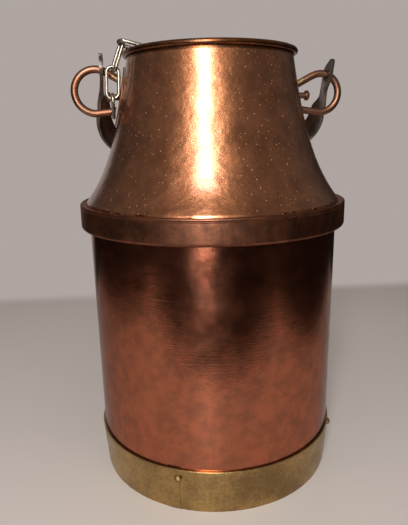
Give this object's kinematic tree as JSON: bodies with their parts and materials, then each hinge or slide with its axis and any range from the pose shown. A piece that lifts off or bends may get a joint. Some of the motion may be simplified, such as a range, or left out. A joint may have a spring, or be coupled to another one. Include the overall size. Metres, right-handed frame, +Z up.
{
  "type": "milk_can",
  "caption": "Small copper milk can with a brass foot band, hammered shoulder and neck, rod ears, a swinging strap bail and a steel chain hanging over its rim",
  "frame": {"origin": "on the floor, in the middle of the foot", "axes": "+Z up along the can's axis, the two ears along X with the chained one at -X, the bail hanging towards +Y"},
  "size_m": [0.2285, 0.2254, 0.3652],
  "materials": {
    "body_copper": "aged copper with fine spinning lines",
    "neck_copper": "hammered copper, browned",
    "ear_copper": "copper rod, satin",
    "bail_copper": "dark brown patina",
    "band_brass": "aged brass, satin",
    "chain_steel": "bright steel wire"
  },
  "bodies": {
    "can": {"body_shell": "body_copper", "base_plate": "body_copper", "foot_band": "band_brass", "foot_rivet_1": "band_brass", "foot_rivet_2": "band_brass", "foot_rivet_3": "band_brass", "foot_rivet_4": "band_brass", "neck_shell": "neck_copper", "rim_wire": "chain_steel", "shoulder_collar": "neck_copper", "ear_plate_right": "ear_copper", "ear_ring_right": "ear_copper", "ear_stud_right": "ear_copper", "ear_plate_left": "ear_copper", "ear_ring_left": "ear_copper", "ear_stud_left": "ear_copper"},
    "bail": {"bail_handle": "bail_copper"},
    "link_1": {"chain_link_1": "chain_steel"},
    "link_2": {"chain_link_2": "chain_steel"},
    "link_3": {"chain_link_3": "chain_steel"},
    "link_4": {"chain_link_4": "chain_steel"},
    "link_5": {"chain_link_5": "chain_steel"},
    "link_6": {"chain_link_6": "chain_steel"},
    "link_7": {"chain_link_7": "chain_steel"},
    "link_8": {"chain_link_8": "chain_steel"},
    "link_9": {"chain_link_9": "chain_steel"}
  },
  "joints": [
    {"name": "bail_swing", "type": "hinge", "parent": "can", "child": "bail", "pos_m": [0.007, 0, 0.34069], "axis": [0.9998, 0, -0.0212], "range_deg": [0, 248]},
    {"name": "link_1_on_ear", "type": "hinge", "parent": "can", "child": "link_1", "pos_m": [-0.0805, 0, 0.31145], "axis": [-1, 0, 0], "range_deg": [0, 4]},
    {"name": "link_2_outwards", "type": "hinge", "parent": "link_1", "child": "link_2", "pos_m": [-0.0805, -0.01203, 0.32406], "axis": [0, -1, 0], "range_deg": [0, 5]},
    {"name": "link_3_outwards", "type": "hinge", "parent": "link_2", "child": "link_3", "pos_m": [-0.07911, -0.01203, 0.34144], "axis": [0.2416, -0.9659, -0.0928], "range_deg": [0, 20]},
    {"name": "link_4_off_rim", "type": "hinge", "parent": "link_3", "child": "link_4", "pos_m": [-0.07051, -0.01203, 0.36384], "axis": [0.2416, -0.9659, -0.0928], "range_deg": [0, 12]},
    {"name": "link_5_sway", "type": "hinge", "parent": "link_4", "child": "link_5", "pos_m": [-0.05057, -0.01621, 0.35629], "axis": [0.0626, -0.9659, 0.2511], "range_deg": [-8, 12]},
    {"name": "link_6_sway", "type": "hinge", "parent": "link_5", "child": "link_6", "pos_m": [-0.05057, -0.01621, 0.33554], "axis": [-0.9979, -0.0647, 0], "range_deg": [-8, 12]},
    {"name": "link_7_sway", "type": "hinge", "parent": "link_6", "child": "link_7", "pos_m": [-0.05057, -0.01621, 0.31479], "axis": [0.0647, -0.9979, 0], "range_deg": [-8, 12]},
    {"name": "link_8_sway", "type": "hinge", "parent": "link_7", "child": "link_8", "pos_m": [-0.05057, -0.01621, 0.29404], "axis": [-0.9979, -0.0647, 0], "range_deg": [-8, 12]},
    {"name": "link_9_sway", "type": "hinge", "parent": "link_8", "child": "link_9", "pos_m": [-0.05057, -0.01621, 0.27329], "axis": [0.0647, -0.9979, 0], "range_deg": [-8, 12]}
  ]
}
